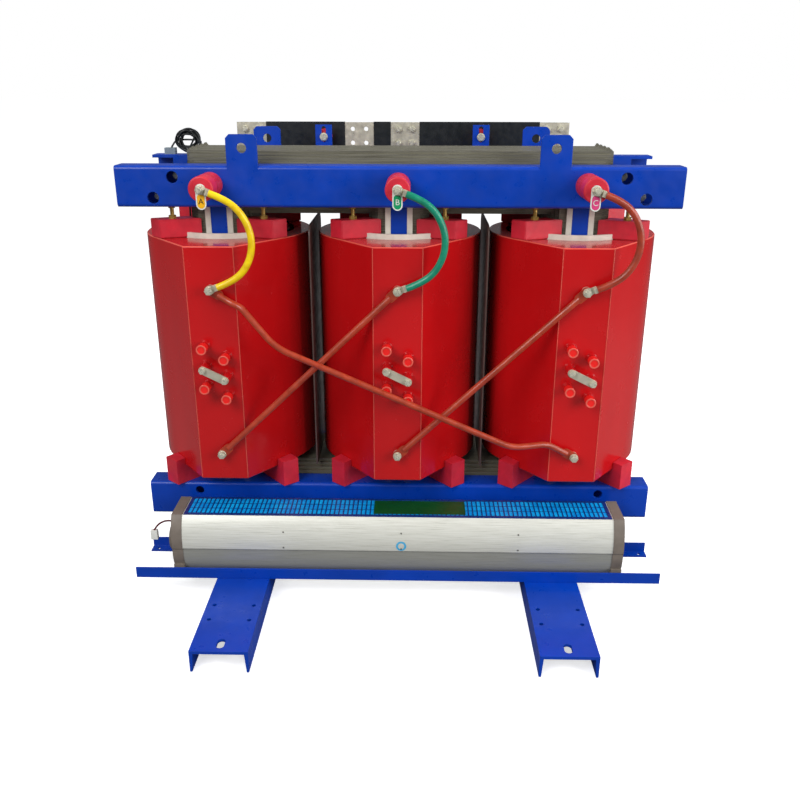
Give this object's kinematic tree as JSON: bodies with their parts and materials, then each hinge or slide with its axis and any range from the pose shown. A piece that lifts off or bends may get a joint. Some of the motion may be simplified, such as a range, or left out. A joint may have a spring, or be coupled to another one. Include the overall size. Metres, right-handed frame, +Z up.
{
  "type": "dry type transformer",
  "caption": "Three-phase cast-resin dry type transformer on base channels, with lifting eyes, tap links, low-voltage bars and a cross-flow cooling fan.",
  "frame": {"origin": "on the floor under the middle limb, at the centre of the outer box's base", "axes": "+X along the row of coils, +Y towards the low-voltage side, +Z up"},
  "size_m": [1.396, 1.372, 1.1885],
  "materials": {
    "blue_paint": "satin blue paint",
    "core_varnish": "grey-brown varnished sheet stack",
    "red_resin": "glossy cast red resin",
    "lv_resin": "matt brown resin",
    "block_red": "moulded red polyester",
    "white_board": "off-white glass-fibre board",
    "barrier_board": "brown-grey board",
    "tinned": "tinned copper",
    "zinc": "zinc-plated steel",
    "brass": "brass",
    "rod_sleeve": "brown-red heat-shrink",
    "yellow_sleeve": "yellow cable sleeve",
    "green_sleeve": "green cable sleeve",
    "brown_sleeve": "red-brown cable sleeve",
    "tag_enamel": "enamelled phase tags",
    "fan_aluminium": "satin aluminium",
    "fan_film": "blue grille under protective film",
    "fan_end_cast": "grey-brown moulded plastic",
    "impeller_aluminium": "plain aluminium",
    "black_sleeve": "black bar sleeve and cable",
    "grey_plug": "grey connector",
    "lead_wires": "thin fan wires",
    "white_plug": "white nylon connector"
  },
  "bodies": {
    "frame": {"left_base_channel": "blue_paint", "right_base_channel": "blue_paint", "clamp_feet": "blue_paint", "front_upper_clamp": "blue_paint", "rear_upper_clamp": "blue_paint", "front_lower_clamp": "blue_paint", "rear_lower_clamp": "blue_paint", "limb_tie_plates": "blue_paint", "front_fan_rail": "blue_paint", "inner_fan_rail": "blue_paint", "neutral_brackets": "blue_paint", "core": "core_varnish", "upper_yoke": "core_varnish", "hv_coil_a": "red_resin", "hv_coil_b": "red_resin", "hv_coil_c": "red_resin", "lv_coil_a": "lv_resin", "lv_coil_b": "lv_resin", "lv_coil_c": "lv_resin", "top_blocks": "block_red", "bottom_blocks": "block_red", "post_insulators": "block_red", "bracket_insulators": "block_red", "gap_boards": "white_board", "limb_strips": "white_board", "left_phase_barrier": "barrier_board", "right_phase_barrier": "barrier_board", "tap_links": "tinned", "cable_lugs": "tinned", "neutral_bar": "tinned", "neutral_risers": "tinned", "phase_bars": "tinned", "tap_link_bolts": "zinc", "coil_terminal_bolts": "zinc", "post_studs": "zinc", "neutral_joint_bolts": "zinc", "bracket_bolts": "zinc", "upper_tie_bolts": "zinc", "lower_tie_bolts": "zinc", "pressing_bolts": "brass", "delta_rod_ab": "rod_sleeve", "delta_rod_bc": "rod_sleeve", "delta_rod_ca": "rod_sleeve", "jumper_cable_a": "yellow_sleeve", "jumper_cable_b": "green_sleeve", "jumper_cable_c": "brown_sleeve", "phase_tags": "tag_enamel", "fan_housing": "fan_aluminium", "fan_grille": "fan_film", "left_fan_end": "fan_end_cast", "right_fan_end": "fan_end_cast", "fan_motor": "fan_end_cast", "neutral_sleeves": "black_sleeve", "sensor_cable_tail": "black_sleeve", "sensor_cable_hank": "black_sleeve", "sensor_plug": "grey_plug", "fan_lead": "lead_wires", "fan_plug": "white_plug"},
    "impeller": {"fan_impeller": "impeller_aluminium"}
  },
  "joints": [
    {"name": "impeller_spin", "type": "hinge", "parent": "frame", "child": "impeller", "pos_m": [0, -0.298, 0.143], "axis": [1, 0, 0], "continuous": true}
  ]
}
